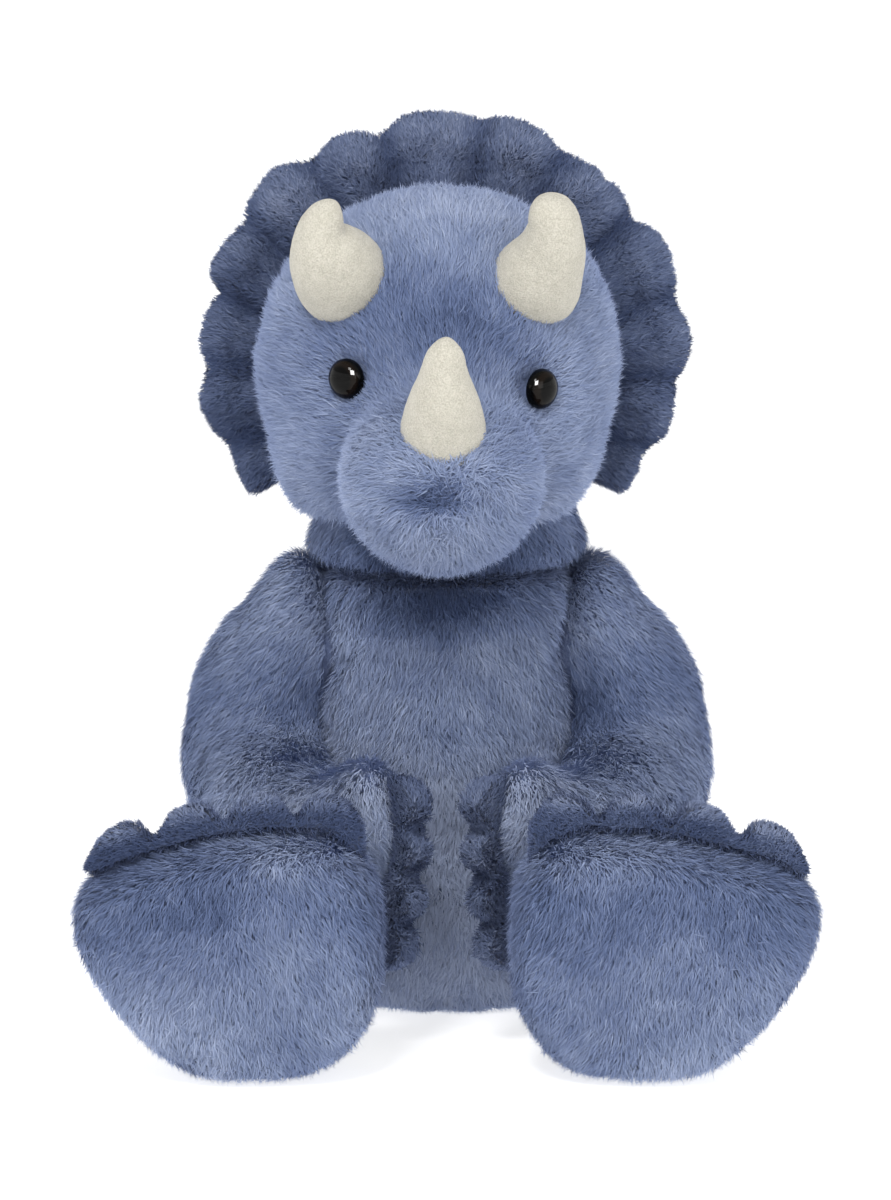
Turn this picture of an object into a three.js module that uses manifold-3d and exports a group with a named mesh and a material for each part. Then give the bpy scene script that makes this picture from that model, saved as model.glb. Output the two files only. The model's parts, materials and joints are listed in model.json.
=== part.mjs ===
// A seated soft toy dinosaur with three horns and a scalloped frill.
//
// Millimetres, +Z up. The toy faces -Y and sits on the plane z = 0; its right-hand pieces, as seen
// from in front, are at +X. Every fur skin is a hollow bag as thick as its pile and backing, open
// where it is sewn on, with a separate filling inside it. The head, neck, arms, legs and tail end
// in round seats centred on their joints, so they turn without touching their neighbours.
import * as THREE from 'three';
import { mergeVertices } from 'three/addons/utils/BufferGeometryUtils.js';
import Module from 'manifold-3d';

const wasm = await Module();
wasm.setup();

// Driving dimensions.
const PILE = 7.5; // thickness of a fur skin, pile and backing together
const SUEDE = 1.5; // thickness of a horn cover
const GAP = 0.4; // space between a skin and its filling, and between sewn neighbours
const SWING_GAP = 2; // space between a round seat and its socket
const SIDES = 10; // facets around a limb or a small lathe shape
const BALL_SIDES = 12; // facets around a round seat

const NECK = { axisY: 4, seamZ: 146, pivotZ: 158, radius: 43.5, opening: 18 };
const SKULL = { centre: [0, -6, 214], radii: [61, 50, 60] };
const MUZZLE = { centre: [0, -60, 180], radii: [34, 34, 30] };
const CHEEK = { centre: [26, -14, 182], radii: [29, 36, 27] };
// The eyes are set by hand, so the right one sits a little lower and nearer the nose.
const EYE_PLACES = [[-30.5, 212.5], [28.5, 209.5]];
const EYE = { radius: 7.2, height: 4.8, shank: 2.2, length: 13 };
const WASHER = { radius: 8.5, bore: 2.7, thickness: 1.5, depth: PILE + 2 };
const SHOULDER = { at: [52, 2, 116.5], radius: 26.5 };
const HIP = { at: [46, -38, 25], radius: 22 };
const TAIL = { at: [0, 42, 22], radius: 18 };
const LIMB_OPENING = 7;
const PELLET_TOP = 27;
const FRILL = { centreZ: 205, plane: 14, layer: 4, inner: 44, lobes: 13, scallop: 6, droop: 28 };
const FOOT = { front: -151, back: -107 };
const TOES = {
  count: 4, first: 26, pitch: 21.5, height: 13.5, valley: 5, thickness: 9,
  y: -134, baseZ: 75, rise: 3, drop: 12,
};
const CLAWS = { count: 4, bottomZ: 34, pitch: 13.4, height: 10, valley: 1.5, thickness: 8 };

// Seat, waist, chest and neck seam of the torso: height, half-width, front and back.
const TORSO_ROWS = [
  [0, 40, -42, 32],
  [4, 48, -50, 40],
  [14, 55, -57, 47],
  [34, 55, -58, 50],
  [56, 47, -54, 49],
  [80, 41.5, -49, 46],
  [105, 41.5, -46, 44],
  [128, 42.5, -43, 44],
  [NECK.seamZ, 42.5, -38, 45],
];

// Colours of the cloths, the eyes and the fillings.
const blueFur = material('#6b7a9f', 0.95);
const darkPlush = material('#47536f', 0.95);
const creamSuede = material('#d6d1c2', 0.9);
const blackPlastic = material('#120d0c', 0.12);
const whitePlastic = material('#e8e8e4', 0.5);
const fibreFill = material('#f2f0ea', 1);
const pelletCloth = material('#c9c4b4', 0.95);

function material(colour, roughness) {
  return new THREE.MeshStandardMaterial({ color: colour, roughness, metalness: 0 });
}

// ---- Solids ----

// The closed solid that a three.js geometry bounds.
function solid(geometry) {
  const bare = geometry.clone();
  for (const name of Object.keys(bare.attributes)) {
    if (name !== 'position') bare.deleteAttribute(name);
  }
  const merged = mergeVertices(bare, 1e-3);
  const corners = merged.index.array;
  const faces = [];
  for (let i = 0; i < corners.length; i += 3) {
    const [a, b, c] = corners.slice(i, i + 3);
    if (a !== b && b !== c && c !== a) faces.push(a, b, c);
  }
  const vertProperties = Float32Array.from(merged.attributes.position.array);
  const mesh = new wasm.Mesh({ numProp: 3, vertProperties, triVerts: Uint32Array.from(faces) });
  return new wasm.Manifold(mesh);
}

function surface(body) {
  const mesh = body.getMesh();
  const geometry = new THREE.BufferGeometry();
  const places = Float32Array.from(mesh.vertProperties);
  geometry.setAttribute('position', new THREE.BufferAttribute(places, 3));
  geometry.setIndex(new THREE.BufferAttribute(Uint32Array.from(mesh.triVerts), 1));
  geometry.computeVertexNormals();
  return geometry;
}

function ellipsoid({ centre, radii }, grow = 0, sides = BALL_SIDES) {
  const geometry = new THREE.SphereGeometry(1, sides, sides * 0.6);
  geometry.rotateX(Math.PI / 2);
  geometry.scale(...radii.map((radius) => radius + grow));
  geometry.translate(...centre);
  return solid(geometry);
}

function ball(at, radius) {
  return ellipsoid({ centre: at, radii: [radius, radius, radius] });
}

function block([x0, x1], [y0, y1], [z0, z1]) {
  const geometry = new THREE.BoxGeometry(x1 - x0, y1 - y0, z1 - z0);
  geometry.translate((x0 + x1) / 2, (y0 + y1) / 2, (z0 + z1) / 2);
  return solid(geometry);
}

// A round rod from one point towards another.
function rod(from, towards, length, radius, sides = SIDES) {
  const start = new THREE.Vector3(...from);
  const axis = new THREE.Vector3(...towards).sub(start).normalize();
  const geometry = new THREE.CylinderGeometry(radius, radius, length, sides);
  geometry.translate(0, length / 2, 0);
  geometry.applyQuaternion(new THREE.Quaternion().setFromUnitVectors(new THREE.Vector3(0, 1, 0), axis));
  geometry.translate(start.x, start.y, start.z);
  return solid(geometry);
}

// A solid of revolution about the upright line through (0, y).
function turned(profile, y, sides = SIDES) {
  const points = profile.map(([radius, z]) => new THREE.Vector2(radius, z));
  const geometry = new THREE.LatheGeometry(points, sides);
  geometry.rotateX(Math.PI / 2);
  geometry.translate(0, y, 0);
  return solid(geometry);
}

// A stuffed tube: a drum of unit radius bent along a smooth path through the stations, each
// [x, y, z, half-size across, half-size the other way]. `across` says which way the first
// half-size lies, and the last part of the path, from `roundFrom`, closes in a round end.
function tube(stations, across, roundFrom, grow = 0, sides = SIDES) {
  const places = stations.map(([x, y, z]) => new THREE.Vector3(x, y, z));
  const end = places[places.length - 1];
  end.addScaledVector(end.clone().sub(places[places.length - 2]).normalize(), grow);
  const path = new THREE.CatmullRomCurve3(places);
  const sizes = new THREE.CatmullRomCurve3(stations.map((s) => new THREE.Vector3(s[3], s[4], 0)));
  const rows = 2 * (stations.length - 1);
  const profile = [new THREE.Vector2(0, 0)];
  for (let i = 0; i <= rows; i++) profile.push(new THREE.Vector2(1, i / rows));
  profile.push(new THREE.Vector2(0, 1));
  const geometry = new THREE.LatheGeometry(profile, sides);
  const drum = geometry.attributes.position;
  const spot = new THREE.Vector3();
  for (let i = 0; i < drum.count; i++) {
    const t = THREE.MathUtils.clamp(drum.getY(i), 0, 1);
    const tangent = path.getTangent(t);
    const wide = across.clone().addScaledVector(tangent, -across.dot(tangent)).normalize();
    const deep = wide.clone().cross(tangent);
    const closing = Math.max(0, (t - roundFrom) / (1 - roundFrom));
    const round = Math.sqrt(Math.max(0, 1 - closing ** 2));
    const size = sizes.getPoint(t);
    spot.copy(path.getPoint(t));
    spot.addScaledVector(wide, drum.getX(i) * Math.max(size.x + grow, 1) * round);
    spot.addScaledVector(deep, drum.getZ(i) * Math.max(size.y + grow, 1) * round);
    drum.setXYZ(i, spot.x, spot.y, spot.z);
  }
  return solid(geometry);
}

// A puffy slab cut to an outline in the x-z plane, from y = front to y = back.
function slab(outline, front, back, round, grow = 0) {
  const geometry = new THREE.ExtrudeGeometry(new THREE.Shape(outline), {
    depth: back - front - 2 * round,
    bevelThickness: round + grow,
    bevelSize: round,
    bevelOffset: grow - round,
    bevelSegments: 2,
  });
  geometry.rotateX(Math.PI / 2);
  geometry.translate(0, back - round, 0);
  return solid(geometry);
}

// ---- Whole shapes, each at its true size plus `grow` ----

function torso(grow = 0) {
  const places = TORSO_ROWS.map(([z]) => new THREE.Vector3(0, 0, z));
  const sizes = TORSO_ROWS.map(([, ...size]) => new THREE.Vector3(...size));
  const rises = new THREE.CatmullRomCurve3(places);
  const spread = new THREE.CatmullRomCurve3(sizes);
  const rows = 9;
  const profile = [new THREE.Vector2(0, 0)];
  for (let i = 0; i <= rows; i++) profile.push(new THREE.Vector2(1, i / rows));
  profile.push(new THREE.Vector2(0, 1));
  const geometry = new THREE.LatheGeometry(profile, 20);
  geometry.rotateX(Math.PI / 2);
  const drum = geometry.attributes.position;
  for (let i = 0; i < drum.count; i++) {
    const t = THREE.MathUtils.clamp(drum.getZ(i), 0, 1);
    const row = spread.getPoint(t);
    const middle = (row.y + row.z) / 2;
    const depth = (row.z - row.y) / 2 + grow;
    const z = THREE.MathUtils.clamp(rises.getPoint(t).z, -grow, NECK.seamZ + grow);
    drum.setXYZ(i, drum.getX(i) * (row.x + grow), middle + drum.getY(i) * depth, z);
  }
  return solid(geometry);
}

// The neck turns on the torso and ends in a round seat inside the head.
function neck(grow = 0) {
  const radius = NECK.radius + grow;
  const bottom = NECK.seamZ + 0.5 - grow;
  const profile = [[0, bottom], [radius - 2, bottom], [radius - 0.8, bottom + 3]];
  const steps = 5;
  for (let i = 0; i <= steps; i++) {
    const angle = (i / steps) * (Math.PI / 2);
    profile.push([i === steps ? 0 : radius * Math.cos(angle), NECK.pivotZ + radius * Math.sin(angle)]);
  }
  return turned(profile, NECK.axisY, 20);
}

function head(grow = 0) {
  const [x, y, z] = CHEEK.centre;
  return [-1, 1].reduce(
    (rest, side) => rest.add(ellipsoid({ centre: [side * x, y, z], radii: CHEEK.radii }, grow)),
    ellipsoid(SKULL, grow, 18).add(ellipsoid(MUZZLE, grow)),
  );
}

function tail(grow = 0) {
  const [, y, z] = TAIL.at;
  const stations = [
    [0, y, z, 17, 17],
    [0, y + 18, z - 1, 16.5, 16.5],
    [0, y + 34, z - 3, 15, 15],
    [0, y + 49, z - 6, 12.5, 12.5],
    [0, y + 62, z - 8, 10, 10],
  ];
  return tube(stations, new THREE.Vector3(1, 0, 0), 0.7, grow).add(ball(TAIL.at, TAIL.radius + grow));
}

function shoulderAt(side) {
  const [x, y, z] = SHOULDER.at;
  return [side * x, y, z];
}

function hipAt(side) {
  const [x, y, z] = HIP.at;
  return [side * x, y, z];
}

// The arm hangs from the shoulder, bends forwards at the elbow and ends in a mitt that stands on
// edge between the legs. Its inner side is flat where it swings past the torso.
function arm(side, grow = 0) {
  const stations = [
    [52, 2, 116.5, 24.5, 24.5],
    [61, 0, 99, 25.5, 25.5],
    [64.5, -12, 79, 24.5, 24.5],
    [56, -38, 70, 21, 21],
    [41, -62, 67, 17, 20],
    [27, -80, 67, 13.5, 25.5],
    [14, -96, 65, 11.5, 29],
  ].map(([x, ...rest]) => [side * x, ...rest]);
  const across = new THREE.Vector3(side * -0.83, -0.56, 0);
  const [, y, z] = SHOULDER.at;
  const innerX = 43.5 - grow;
  const swing = rod([-innerX, y, z], [0, y, z], 2 * innerX, 58 - grow, 24);
  const shoulder = ball(shoulderAt(side), SHOULDER.radius + grow);
  return tube(stations, across, 0.86, grow).subtract(swing).add(shoulder);
}

// The foot is a puffy paddle that stands on its heel with its sole to the front. Its outline runs
// from the heel round the outer side, the toes and the inner side, in x and z.
function foot(side, grow = 0) {
  const corners = [
    [60, 0], [80, 2], [99, 16], [112, 35], [117.5, 50], [112, 64],
    [90, 72], [62, 78.5], [36, 78], [25, 66], [22.5, 40], [27, 16], [40, 3],
  ].map(([x, z]) => new THREE.Vector3(side * x, 0, z));
  const outline = new THREE.CatmullRomCurve3(side > 0 ? corners.reverse() : corners, true);
  const middle = new THREE.Vector3(side * 70, 0, 42);
  const profile = [
    [0, 0], [0.74, 0], [0.91, 0.08], [1, 0.34], [1, 0.66], [0.91, 0.92], [0.74, 1], [0, 1],
  ].map(([share, y]) => new THREE.Vector2(share, y));
  const geometry = new THREE.LatheGeometry(profile, 18);
  const drum = geometry.attributes.position;
  for (let i = 0; i < drum.count; i++) {
    const turn = Math.atan2(drum.getX(i), drum.getZ(i)) / (2 * Math.PI);
    const share = Math.hypot(drum.getX(i), drum.getZ(i));
    const reach = outline.getPoint(turn < 0 ? turn + 1 : turn).sub(middle);
    const spot = reach.multiplyScalar(share * (1 + grow / reach.length())).add(middle);
    const y = THREE.MathUtils.lerp(FOOT.front - grow, FOOT.back + grow, drum.getY(i));
    drum.setXYZ(i, spot.x, y, spot.z);
  }
  return solid(geometry);
}

function leg(side, grow = 0) {
  const stations = [
    [46, -38, 25, 21.5, 21.5],
    [55, -66, 26, 21.5, 21.5],
    [62, -92, 29, 24, 25],
    [67, -132, 36, 26, 28],
  ].map(([x, ...rest]) => [side * x, ...rest]);
  const shin = tube(stations, new THREE.Vector3(1, 0, 0), 0.9, grow);
  return shin.add(foot(side, grow)).add(ball(hipAt(side), HIP.radius + grow));
}

// A horn: a tube of round section that narrows to a blunt tip.
function horn(stations, grow = 0) {
  const round = stations.map(([x, y, z, radius]) => [x, y, z, radius, radius]);
  return tube(round, new THREE.Vector3(1, 0, 0), 0.86, grow);
}

function browHornStations(side) {
  return [
    [side * 30, -28, 238, 16],
    [side * 34.5, -41, 246, 17],
    [side * 38.5, -50, 255, 13.5],
    [side * 39, -55, 264, 8.5],
    [side * 36, -57, 272, 6],
  ];
}

const noseHornStations = [
  [0, -68, 185, 13],
  [0, -80, 197, 14.5],
  [0, -90, 208.5, 12],
  [0, -98, 219, 8],
  [0, -103, 229, 5],
];

// ---- Parts ----

// One layer of the frill: a flat fan with a scalloped rim.
function frillLayer(offset, trim) {
  const start = THREE.MathUtils.degToRad(-FRILL.droop);
  const sweep = Math.PI - 2 * start;
  const perLobe = 4;
  const steps = FRILL.lobes * perLobe;
  const rim = [];
  const root = [];
  for (let i = 0; i <= steps; i++) {
    const angle = start + (sweep * i) / steps;
    const wave = Math.abs(Math.sin((Math.PI * i) / perLobe));
    const reach = 82 + 13 * Math.sin(angle) - FRILL.scallop * (1 - wave) - trim;
    const ray = new THREE.Vector2(Math.cos(angle), Math.sin(angle));
    rim.push(ray.clone().multiplyScalar(reach));
    if (i % perLobe === 0) root.unshift(ray.multiplyScalar(FRILL.inner));
  }
  const geometry = new THREE.ExtrudeGeometry(new THREE.Shape([...rim, ...root]), {
    depth: FRILL.layer,
    bevelEnabled: false,
  });
  geometry.rotateX(Math.PI / 2);
  geometry.translate(0, FRILL.plane + offset, FRILL.centreZ);
  return solid(geometry).subtract(head(GAP)).subtract(neck(SWING_GAP));
}

// Outline of a strip with a straight root below y = 0 and a row of round scallops above it.
function scallops({ count, pitch, height, valley }, root) {
  const outline = [new THREE.Vector2(0, -root)];
  const steps = 4;
  for (let i = 0; i <= count * steps; i++) {
    const bump = Math.sqrt(Math.abs(Math.sin((Math.PI * i) / steps)));
    outline.push(new THREE.Vector2((i * pitch) / steps, valley + (height - valley) * bump));
  }
  outline.push(new THREE.Vector2(count * pitch, -root));
  return outline.reverse();
}

function toeStrip(side) {
  const outline = scallops(TOES, 8).map(({ x, y }) => {
    const across = TOES.first + x;
    const share = x / (TOES.count * TOES.pitch);
    const rise = TOES.rise * Math.sin(Math.PI * share) - TOES.drop * share ** 2;
    return new THREE.Vector2(side * across, TOES.baseZ + rise + y);
  });
  const half = TOES.thickness / 2;
  const ring = side > 0 ? outline : outline.reverse();
  return slab(ring, TOES.y - half, TOES.y + half, 1.5).subtract(foot(side, GAP));
}

// The claw strip stands upright on the edge of the mitt, in the plane that the forearm points along.
function clawStrip(side) {
  const half = CLAWS.thickness / 2;
  const outline = scallops(CLAWS, 8).map(({ x, y }) => new THREE.Vector2(y, x));
  const geometry = new THREE.ExtrudeGeometry(new THREE.Shape(outline), {
    depth: CLAWS.thickness,
    bevelEnabled: false,
  });
  geometry.translate(0, 0, -half);
  geometry.rotateX(Math.PI / 2);
  geometry.rotateZ(THREE.MathUtils.degToRad(side > 0 ? 236 : 304));
  geometry.translate(side * 12.5, -96, CLAWS.bottomZ);
  return solid(geometry).subtract(arm(side, GAP));
}

const mouthOfNeck = rod([0, NECK.axisY, NECK.seamZ - 16], [0, NECK.axisY, 200], 32, NECK.opening, 16);

const bodySockets = [
  ...[-1, 1].map((side) => [shoulderAt(side), SHOULDER.radius]),
  ...[-1, 1].map((side) => [hipAt(side), HIP.radius]),
  [TAIL.at, TAIL.radius],
];

function withoutSockets(body, margin) {
  return bodySockets.reduce((rest, [at, radius]) => rest.subtract(ball(at, radius + margin)), body);
}

function withoutLimbs(body) {
  const limbs = [-1, 1].flatMap((side) => [leg(side, SWING_GAP), arm(side, SWING_GAP)]);
  return limbs.reduce((rest, limb) => rest.subtract(limb), body);
}

function bodySkin() {
  const shell = withoutLimbs(withoutSockets(torso(), SWING_GAP));
  const cavity = withoutSockets(torso(-PILE), SWING_GAP + PILE);
  return shell.subtract(cavity).subtract(mouthOfNeck);
}

function bodyFilling() {
  return withoutSockets(torso(-PILE - GAP), SWING_GAP + PILE + GAP);
}

// The pellet bag fills the seat up to a flat top, and the fibre fills the rest.
function bodyFillingBetween(bottom, top) {
  return bodyFilling().intersect(block([-200, 200], [-200, 200], [bottom, top]));
}

// A limb's skin is open at its round seat, where it is sewn to the body and filled.
function limbSkin(shape, at, inwards) {
  const opening = rod(at, at.map((value, i) => value + inwards[i]), 60, LIMB_OPENING);
  return shape(0).subtract(shape(-PILE)).subtract(opening);
}

function limbFilling(shape) {
  return shape(-PILE - GAP);
}

// Where an eye sits on the skull, and which way it looks.
function eyeSeat([x, z]) {
  const [cx, cy, cz] = SKULL.centre;
  const [rx, ry, rz] = SKULL.radii;
  const dx = (x - cx) / rx;
  const dz = (z - cz) / rz;
  const dy = -Math.sqrt(1 - dx * dx - dz * dz);
  const at = new THREE.Vector3(x, cy + ry * dy, z);
  const out = new THREE.Vector3(dx / rx, dy / ry, dz / rz).normalize();
  return { at, out };
}

function onSeat(geometry, { at, out }, lift) {
  geometry.applyQuaternion(new THREE.Quaternion().setFromUnitVectors(new THREE.Vector3(0, 1, 0), out));
  geometry.translate(...at.clone().addScaledVector(out, lift).toArray());
  return solid(geometry);
}

function plug(seat, bottom, top, radius) {
  const geometry = new THREE.CylinderGeometry(radius, radius, top - bottom, SIDES);
  geometry.translate(0, (top - bottom) / 2, 0);
  return onSeat(geometry, seat, bottom);
}

// A safety eye: a glossy dome on a plain shank.
function eye(seat) {
  const profile = [new THREE.Vector2(0, -EYE.length), new THREE.Vector2(EYE.shank, -EYE.length)];
  profile.push(new THREE.Vector2(EYE.shank, 0), new THREE.Vector2(EYE.radius, 0));
  const steps = 4;
  for (let i = 1; i <= steps; i++) {
    const angle = (i / steps) * (Math.PI / 2);
    const radius = i === steps ? 0 : EYE.radius * Math.cos(angle);
    profile.push(new THREE.Vector2(radius, 0.8 + EYE.height * Math.sin(angle)));
  }
  return onSeat(new THREE.LatheGeometry(profile, SIDES), seat, -0.8);
}

// The flat ring pressed on the shank behind the skin.
function eyeWasher(seat) {
  const corners = [
    [WASHER.bore, 0], [WASHER.radius, 0],
    [WASHER.radius, WASHER.thickness], [WASHER.bore, WASHER.thickness],
    [WASHER.bore, 0],
  ].map(([x, y]) => new THREE.Vector2(x, y));
  return onSeat(new THREE.LatheGeometry(corners, SIDES), seat, -WASHER.depth - WASHER.thickness);
}

const seats = EYE_PLACES.map(eyeSeat);

function headCavity(grow) {
  return head(-PILE + grow).subtract(neck(SWING_GAP + PILE - grow));
}

function headSkin() {
  const shell = head().subtract(neck(SWING_GAP)).subtract(headCavity(0));
  return seats.reduce((rest, seat) => {
    const pocket = plug(seat, -1.2, 12, EYE.radius + GAP);
    return rest.subtract(pocket).subtract(plug(seat, -16, 2, WASHER.bore));
  }, shell);
}

function headStuffing() {
  const room = WASHER.radius + 1;
  return seats.reduce((rest, seat) => rest.subtract(plug(seat, -16, 2, room)), headCavity(-GAP));
}

function hornCover(stations) {
  return horn(stations).subtract(horn(stations, -SUEDE)).subtract(head(GAP));
}

function hornStuffing(stations) {
  return horn(stations, -SUEDE - GAP).subtract(head(GAP));
}

// ---- The toy ----

const group = new THREE.Group();

function add(name, body, look) {
  const mesh = new THREE.Mesh(surface(body), look);
  mesh.name = name;
  group.add(mesh);
}

add('body_skin', bodySkin(), blueFur);
add('body_stuffing', bodyFillingBetween(PELLET_TOP + GAP, 200), fibreFill);
add('seat_pellet_bag', bodyFillingBetween(0, PELLET_TOP), pelletCloth);

add('tail_skin', limbSkin(tail, TAIL.at, [0, -1, 0]), blueFur);
add('tail_stuffing', limbFilling(tail), fibreFill);

add('neck_skin', neck().subtract(neck(-PILE)).subtract(mouthOfNeck), blueFur);
add('neck_stuffing', neck(-PILE - GAP), fibreFill);

add('head_skin', headSkin(), blueFur);
add('head_stuffing', headStuffing(), fibreFill);
add('frill_front', frillLayer(-FRILL.layer / 2 - GAP, 0), darkPlush);
add('frill_padding', frillLayer(FRILL.layer / 2, 3), fibreFill);
add('frill_back', frillLayer(FRILL.layer * 1.5 + GAP, 0), darkPlush);
add('nose_horn_cover', hornCover(noseHornStations), creamSuede);
add('nose_horn_stuffing', hornStuffing(noseHornStations), fibreFill);

for (const [name, side] of [['left', -1], ['right', 1]]) {
  const seat = seats[side < 0 ? 0 : 1];
  add(`brow_horn_${name}_cover`, hornCover(browHornStations(side)), creamSuede);
  add(`brow_horn_${name}_stuffing`, hornStuffing(browHornStations(side)), fibreFill);
  add(`eye_${name}`, eye(seat), blackPlastic);
  add(`eye_${name}_washer`, eyeWasher(seat), whitePlastic);
  const armShape = (grow) => arm(side, grow);
  add(`arm_${name}_skin`, limbSkin(armShape, shoulderAt(side), [-side, 0, 0]), blueFur);
  add(`arm_${name}_stuffing`, limbFilling(armShape), fibreFill);
  add(`arm_${name}_claws`, clawStrip(side), darkPlush);
  const legShape = (grow) => leg(side, grow);
  add(`leg_${name}_skin`, limbSkin(legShape, hipAt(side), [-side, 0, 0]), blueFur);
  add(`leg_${name}_stuffing`, limbFilling(legShape), fibreFill);
  add(`leg_${name}_toes`, toeStrip(side), darkPlush);
}

export default group;
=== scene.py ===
import json
import math

import bpy
import numpy as np
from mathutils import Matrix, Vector


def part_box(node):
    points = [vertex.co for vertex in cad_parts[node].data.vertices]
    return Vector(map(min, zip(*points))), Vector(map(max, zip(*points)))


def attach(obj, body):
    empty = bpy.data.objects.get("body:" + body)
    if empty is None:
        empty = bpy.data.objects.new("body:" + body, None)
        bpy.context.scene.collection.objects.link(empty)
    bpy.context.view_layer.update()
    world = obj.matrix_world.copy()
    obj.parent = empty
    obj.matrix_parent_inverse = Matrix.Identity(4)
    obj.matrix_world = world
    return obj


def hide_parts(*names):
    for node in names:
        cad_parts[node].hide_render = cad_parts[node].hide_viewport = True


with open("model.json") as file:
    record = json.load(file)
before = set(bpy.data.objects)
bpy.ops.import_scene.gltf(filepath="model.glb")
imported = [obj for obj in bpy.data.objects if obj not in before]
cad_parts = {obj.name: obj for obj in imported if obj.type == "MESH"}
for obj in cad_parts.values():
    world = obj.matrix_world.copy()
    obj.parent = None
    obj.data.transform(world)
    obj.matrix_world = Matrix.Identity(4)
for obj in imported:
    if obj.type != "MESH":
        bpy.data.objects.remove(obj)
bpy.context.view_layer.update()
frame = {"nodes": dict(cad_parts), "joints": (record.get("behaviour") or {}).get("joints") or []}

MM = 0.001
X, Y, Z = np.eye(3)

# Places that the fur's flow and the small pieces follow, in millimetres, from the CAD boxes.


def corner(node, side):
    return np.array(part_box(node)[side]) / MM


def middle(node):
    return (corner(node, 0) + corner(node, 1)) / 2


def joint_place(name):
    return np.array(next(j for j in frame["joints"] if j["name"] == name)["pos_m"]) / MM


HEAD_PIVOT = joint_place("head_nod")
SHOULDERS = [joint_place("shoulder_left"), joint_place("shoulder_right")]
HIPS = [joint_place("hip_left"), joint_place("hip_right")]
TAIL_ROOT = joint_place("tail_wag")
NECK_SEAM_Z = joint_place("neck_turn")[2]
FRILL_LOW, FRILL_HIGH = corner("frill_front", 0), corner("frill_back", 1)
FRILL_CENTRE = np.array([0.0, (FRILL_LOW[1] + FRILL_HIGH[1]) / 2, 205.0])
MUZZLE_TIP = np.array([0.0, corner("head_skin", 0)[1], 183.0])
PILE = 4.5  # how far the backing cloth lies under the tips of the pile
PUFF = 1.2  # how far the filling blows the cloth up
FLOOR_GAP = 1.0  # how far the backing cloth stays above the floor
EYE_DEPTH = 11.1  # from the washer to the base of the eye's dome
SHOULDER_SEAT, HIP_SEAT, TAIL_SEAT = 27.0, 21.5, 17.5  # bare round places on the torso at its joints
CLOTH_SLACK = 0.05  # how much larger each cloth is cut than the shape it covers
CLOTH_FRAMES = 20

# The two kinds of pile: strands in a square millimetre, their length, width and lean, and the size of a
# lock of them.
BLUE_PILE = dict(density=4.6, length=6.4, width=0.35, lean=0.85, lock=2.2)
DARK_PILE = dict(density=6.0, length=3.8, width=0.38, lean=0.8, lock=2.0)
STRIP_LENGTH = 3.0  # the shorter strands of the claw and toe strips

# How far strands stray from the flow of their pile: over wide areas, over small ones, and one by one.
STRAY_WIDE, STRAY_NEAR, STRAY_ALONE = 0.42, 0.25, 0.26
GATHER = 0.2  # how far a strand leans to the middle of its lock, at its knee and again at its tip


# ---- Materials ----


def srgb(*levels):
    """Linear colour from 0-255 screen levels."""
    parts = [v / 255 for v in levels]
    return tuple(v / 12.92 if v <= 0.04045 else ((v + 0.055) / 1.055) ** 2.4 for v in parts) + (1.0,)


def principled(name, colour, roughness, **sockets):
    mat = bpy.data.materials.new(name)
    mat.use_nodes = True
    shader = mat.node_tree.nodes["Principled BSDF"]
    shader.inputs["Base Color"].default_value = colour
    shader.inputs["Roughness"].default_value = roughness
    for key, value in sockets.items():
        shader.inputs[key.replace("_", " ")].default_value = value
    return mat


def cloth_material(name, dark, light, scale, bump, roughness=0.9, sheen=0.3, blotch=0.5):
    """Cloth whose colour wanders between two shades and whose surface is finely napped."""
    mat = principled(name, dark, roughness, Sheen_Weight=sheen, Sheen_Roughness=0.5)
    tree = mat.node_tree
    shader = tree.nodes["Principled BSDF"]
    place = tree.nodes.new("ShaderNodeTexCoord")
    broad = tree.nodes.new("ShaderNodeTexNoise")
    broad.inputs["Scale"].default_value = scale * 0.12
    broad.inputs["Detail"].default_value = 4
    fine = tree.nodes.new("ShaderNodeTexNoise")
    fine.inputs["Scale"].default_value = scale
    fine.inputs["Detail"].default_value = 6
    both = tree.nodes.new("ShaderNodeMix")
    both.inputs["Factor"].default_value = blotch
    ramp = tree.nodes.new("ShaderNodeValToRGB")
    for element, position, colour in zip(ramp.color_ramp.elements, (0.38, 0.62), (dark, light)):
        element.position = position
        element.color = colour
    dent = tree.nodes.new("ShaderNodeBump")
    dent.inputs["Strength"].default_value = bump
    dent.inputs["Distance"].default_value = 0.0006
    link = tree.links.new
    link(place.outputs["Object"], broad.inputs["Vector"])
    link(place.outputs["Object"], fine.inputs["Vector"])
    link(fine.outputs["Fac"], both.inputs["A"])
    link(broad.outputs["Fac"], both.inputs["B"])
    link(both.outputs["Result"], ramp.inputs["Fac"])
    link(ramp.outputs["Color"], shader.inputs["Base Color"])
    link(fine.outputs["Fac"], dent.inputs["Height"])
    link(dent.outputs["Normal"], shader.inputs["Normal"])
    return mat


def strand_shades(name, shades):
    """Materials for the strands of a pile, dark shade to light."""
    return [
        principled(
            f"{name}_{i}", srgb(*shade), 0.95,
            Specular_IOR_Level=0.08, Sheen_Weight=0.6, Sheen_Tint=srgb(150, 164, 204),
        )
        for i, shade in enumerate(shades)
    ]


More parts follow.
